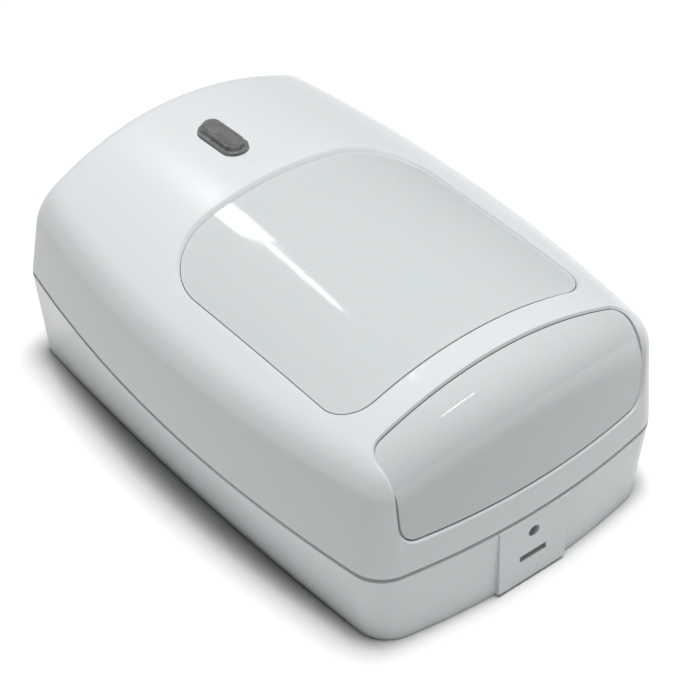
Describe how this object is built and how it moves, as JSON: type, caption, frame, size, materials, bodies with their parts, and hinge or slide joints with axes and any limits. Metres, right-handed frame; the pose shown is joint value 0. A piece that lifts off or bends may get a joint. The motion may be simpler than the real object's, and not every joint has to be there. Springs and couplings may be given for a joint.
{
  "type": "motion sensor",
  "caption": "Wall motion sensor: two-part glossy housing, arched main lens, wrap-around look-down lens, indicator window and a sensor board that slides.",
  "frame": {"origin": "centre of the wall face of the base", "axes": "+Z out of the wall through the front cover, +Y towards the top end with the indicator window, X across"},
  "size_m": [0.0798, 0.1178, 0.052],
  "materials": {
    "housing": "glossy moulded",
    "lens": "milky translucent, smooth outside",
    "inner_frame": "moulded",
    "clear_plastic": "clear polished",
    "board": "solder mask",
    "can_metal": "plated",
    "filter": "dark coated silicon",
    "black_plastic": "moulded",
    "steel": "zinc plated",
    "terminal_plastic": "moulded",
    "relay_plastic": "moulded",
    "tamper_plastic": "moulded",
    "dip_plastic": "moulded",
    "white_plastic": "moulded",
    "led_red": "tinted lens",
    "chip": "moulded",
    "capacitor_sleeve": "sleeved",
    "chip_ceramic": "ceramic"
  },
  "bodies": {
    "base": {"rear_base": "housing", "board_screw": "steel"},
    "cover": {"front_cover": "housing", "main_lens": "lens", "look_down_lens": "lens", "lens_retainer": "inner_frame", "led_light_pipe": "clear_plastic"},
    "board": {"circuit_board": "board", "pyro_sensor": "can_metal", "pyro_window": "filter", "sensor_shroud": "black_plastic", "terminal_block": "terminal_plastic", "terminal_screws": "steel", "wire_clamps": "steel", "alarm_relay": "relay_plastic", "tamper_body": "black_plastic", "dip_body": "dip_plastic", "status_led": "led_red", "microcontroller": "chip", "amplifier_chip": "chip", "capacitors": "capacitor_sleeve", "chip_parts": "chip_ceramic"},
    "tamper": {"tamper_plunger": "tamper_plastic"},
    "dip_1": {"dip_slider_1": "white_plastic"},
    "dip_2": {"dip_slider_2": "white_plastic"},
    "dip_3": {"dip_slider_3": "white_plastic"},
    "latch": {"cover_latch": "housing"}
  },
  "joints": [
    {"name": "cover_hinge", "type": "hinge", "parent": "base", "child": "cover", "pos_m": [0, 0.0589, 0.02197], "axis": [-1, 0, 0], "range_deg": [0, 60]},
    {"name": "board_slide", "type": "slide", "parent": "base", "child": "board", "axis": [0, 1, 0], "range_m": [-0.003, 0.003]},
    {"name": "tamper_travel", "type": "slide", "parent": "board", "child": "tamper", "axis": [0, 0, 1], "range_m": [0, 0.0015]},
    {"name": "dip_travel_1", "type": "slide", "parent": "board", "child": "dip_1", "axis": [0, 1, 0], "range_m": [0, 0.0012]},
    {"name": "dip_travel_2", "type": "slide", "parent": "board", "child": "dip_2", "axis": [0, 1, 0], "range_m": [0, 0.0012]},
    {"name": "dip_travel_3", "type": "slide", "parent": "board", "child": "dip_3", "axis": [0, 1, 0], "range_m": [0, 0.0012]},
    {"name": "latch_flex", "type": "hinge", "parent": "base", "child": "latch", "pos_m": [0, -0.054, 0.0032], "axis": [-1, 0, 0], "range_deg": [0, 6], "stiffness_Nm_per_rad": 0.02}
  ],
  "couplings": [
    {"joint": "tamper_travel", "follows": "cover_hinge", "m_per_rad": 0.001431}
  ]
}
